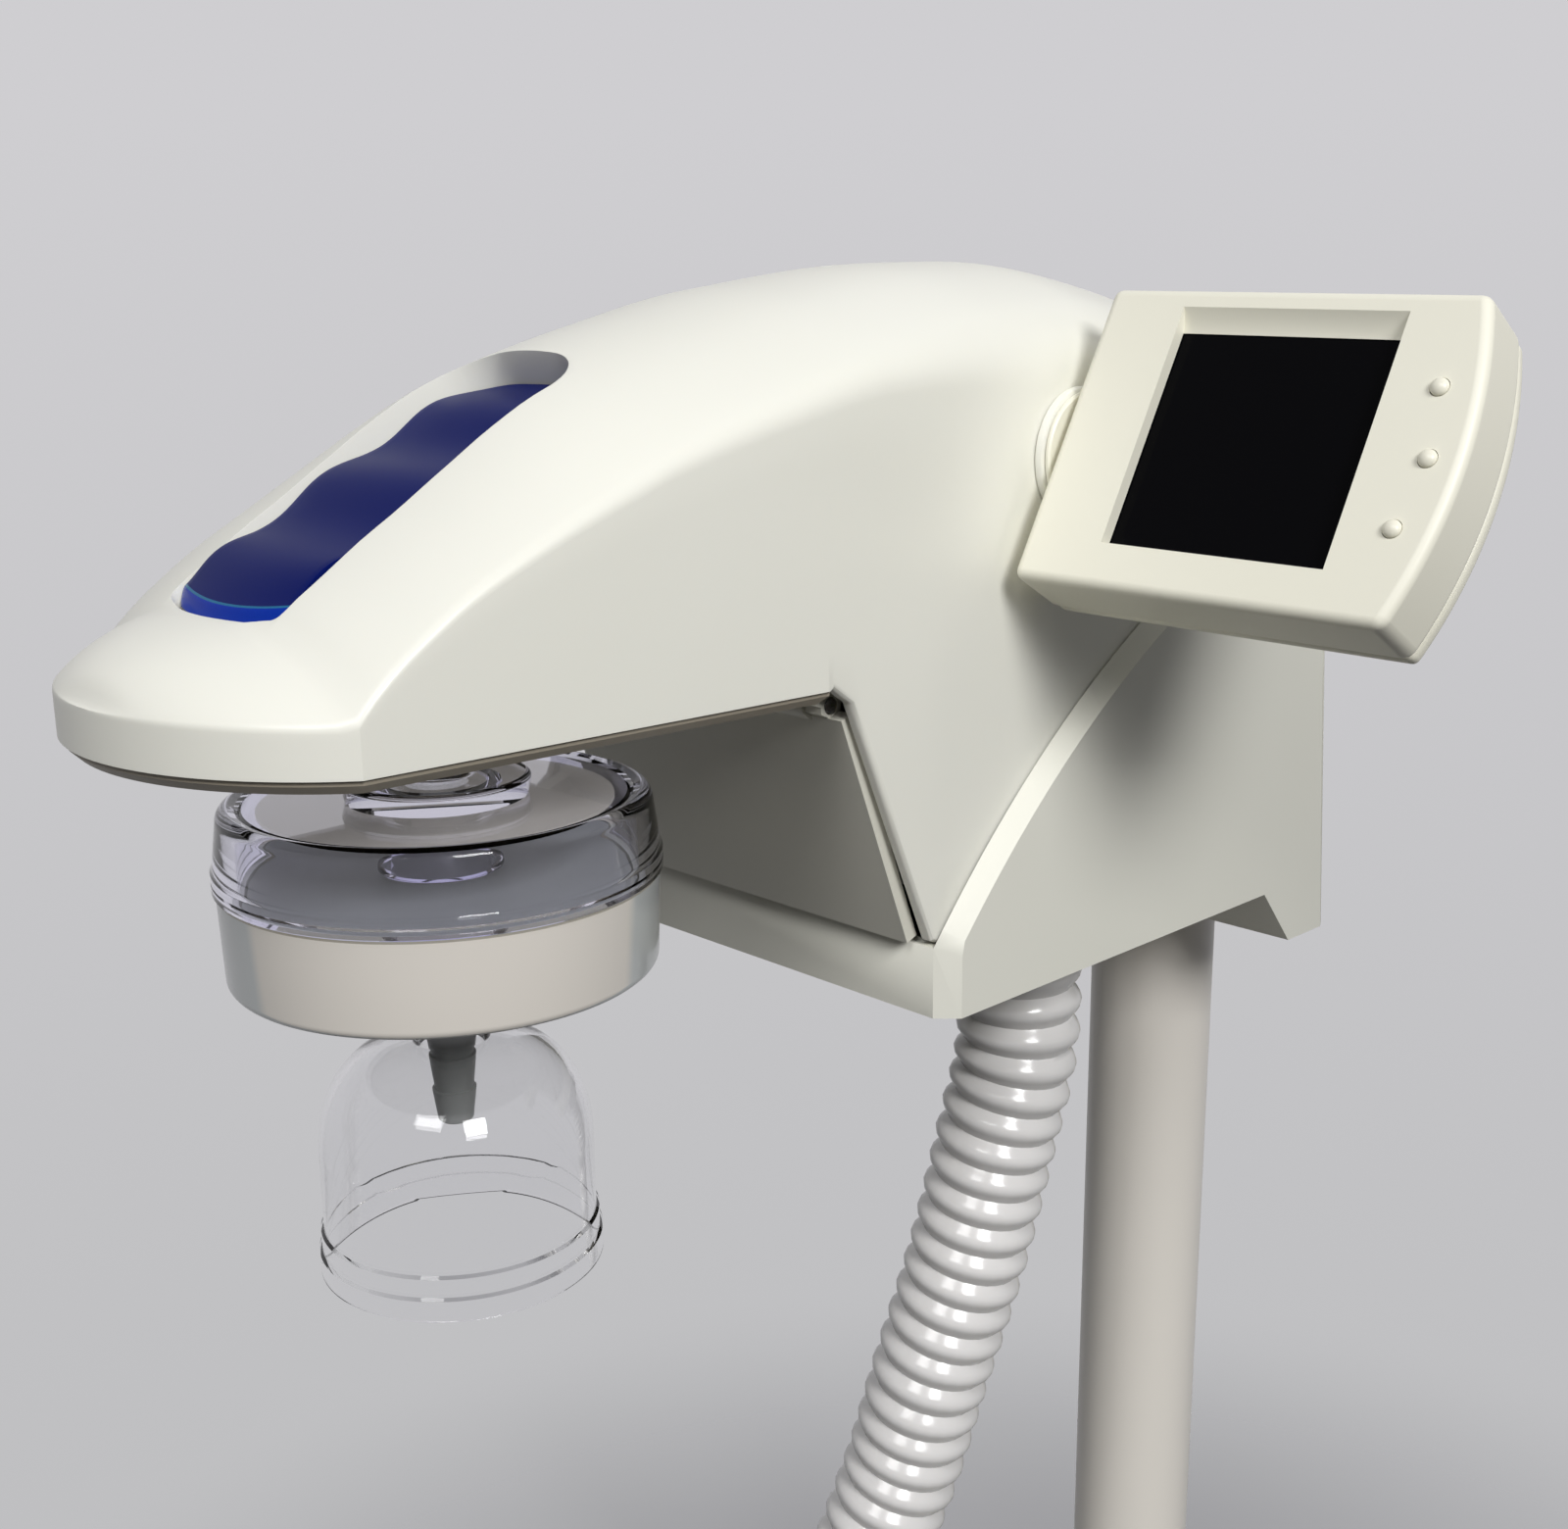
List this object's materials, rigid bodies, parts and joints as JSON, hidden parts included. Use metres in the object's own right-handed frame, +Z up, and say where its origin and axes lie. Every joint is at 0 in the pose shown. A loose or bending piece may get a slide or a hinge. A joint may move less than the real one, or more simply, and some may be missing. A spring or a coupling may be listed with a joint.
{
  "type": "ultrapure water system",
  "caption": "Pole-mounted ultrapure water dispenser with a wavy press lever, tilting display, final filter, clear bell and ribbed hose.",
  "frame": {"origin": "on the bench, under the middle of the pole, at the underside of the base mat", "axes": "+Z up along the pole, -Y towards the dispensing nose, +X towards the display"},
  "size_m": [0.3311, 0.3953, 0.5771],
  "materials": {
    "shell": "warm white moulded ABS, satin",
    "housing": "pale grey-cream moulded ABS, fine texture",
    "door": "grey-cream moulded ABS",
    "underplate": "grey-brown moulded plastic",
    "display_case": "cream moulded ABS, satin",
    "pole_paint": "cream powder coat, smooth",
    "blue_lever": "deep blue tinted acrylic, polished",
    "clear_plastic": "clear moulded polycarbonate",
    "filter_white": "white moulded polypropylene",
    "label_film": "off-white film",
    "grey_plastic": "mid-grey moulded plastic",
    "hose": "light grey corrugated polyethylene, glossy",
    "rubber": "black anti-slip rubber",
    "steel": "bright steel",
    "screen_glass": "black glossy display window",
    "board": "green circuit board"
  },
  "bodies": {
    "stand": {"base_cover": "shell", "base_mat": "rubber", "base_plate": "steel", "base_screw_1": "steel", "base_screw_2": "steel", "base_screw_3": "steel", "pole": "pole_paint", "pole_foot": "steel", "pole_bolt": "steel", "pole_collar": "shell", "pole_cap": "grey_plastic", "pole_sleeve": "steel", "grub_screw_1": "steel", "grub_screw_2": "steel", "hood_shell": "shell", "lower_housing": "housing", "rear_cover": "housing", "control_board": "board", "nose_underplate": "underplate", "outlet_port": "grey_plastic", "dispense_valve": "grey_plastic", "outlet_elbow": "filter_white", "supply_tube": "filter_white", "dispense_switch": "grey_plastic", "plunger_pin": "steel", "plunger_spring": "steel", "door_pin": "steel", "tilt_boss": "shell", "friction_washer": "rubber", "hose_gland": "grey_plastic", "ribbed_hose": "hose", "hose_end_cuff": "grey_plastic"},
    "plunger_lever": {"plunger": "blue_lever"},
    "door": {"front_door": "door"},
    "display": {"display_bezel": "display_case", "display_back": "display_case", "display_glass": "screen_glass", "screen_module": "steel", "display_board": "board", "tilt_shaft": "display_case", "tilt_nut": "steel"},
    "button_upper": {"button_1": "display_case"},
    "button_middle": {"button_2": "display_case"},
    "button_lower": {"button_3": "display_case"},
    "final_filter": {"filter_lid": "clear_plastic", "filter_label": "label_film", "filter_cup": "filter_white", "membrane_stack": "label_film", "outlet_barb": "grey_plastic", "vent_cap": "filter_white"},
    "bell": {"splash_bell": "clear_plastic"}
  },
  "joints": [
    {"name": "plunger_press", "type": "hinge", "parent": "stand", "child": "plunger_lever", "pos_m": [0, -0.19189, 0.5499], "axis": [1, 0, 0], "range_deg": [0, 4.5], "stiffness_Nm_per_rad": 0.6, "springref_deg": -5.73, "deforming": ["plunger_spring"]},
    {"name": "door_hinge", "type": "hinge", "parent": "stand", "child": "door", "pos_m": [0, -0.15419, 0.501], "axis": [-1, 0, 0], "range_deg": [0, 30]},
    {"name": "display_tilt", "type": "hinge", "parent": "stand", "child": "display", "pos_m": [0.0457, -0.0965, 0.541], "axis": [1, 0, 0], "range_deg": [-30, 40]},
    {"name": "button_upper_press", "type": "slide", "parent": "display", "child": "button_upper", "axis": [-0.0513, 0.8742, -0.4828], "range_m": [0, 0.0008], "stiffness_N_per_m": 600, "springref_m": -0.0008},
    {"name": "button_middle_press", "type": "slide", "parent": "display", "child": "button_middle", "axis": [-0.0513, 0.8742, -0.4828], "range_m": [0, 0.0008], "stiffness_N_per_m": 600, "springref_m": -0.0008},
    {"name": "button_lower_press", "type": "slide", "parent": "display", "child": "button_lower", "axis": [-0.0513, 0.8742, -0.4828], "range_m": [0, 0.0008], "stiffness_N_per_m": 600, "springref_m": -0.0008},
    {"name": "filter_pull", "type": "slide", "parent": "stand", "child": "final_filter", "axis": [0, 0, -1], "range_m": [0, 0.06]},
    {"name": "bell_pull", "type": "slide", "parent": "final_filter", "child": "bell", "axis": [0, 0, -1], "range_m": [0, 0.045]}
  ]
}
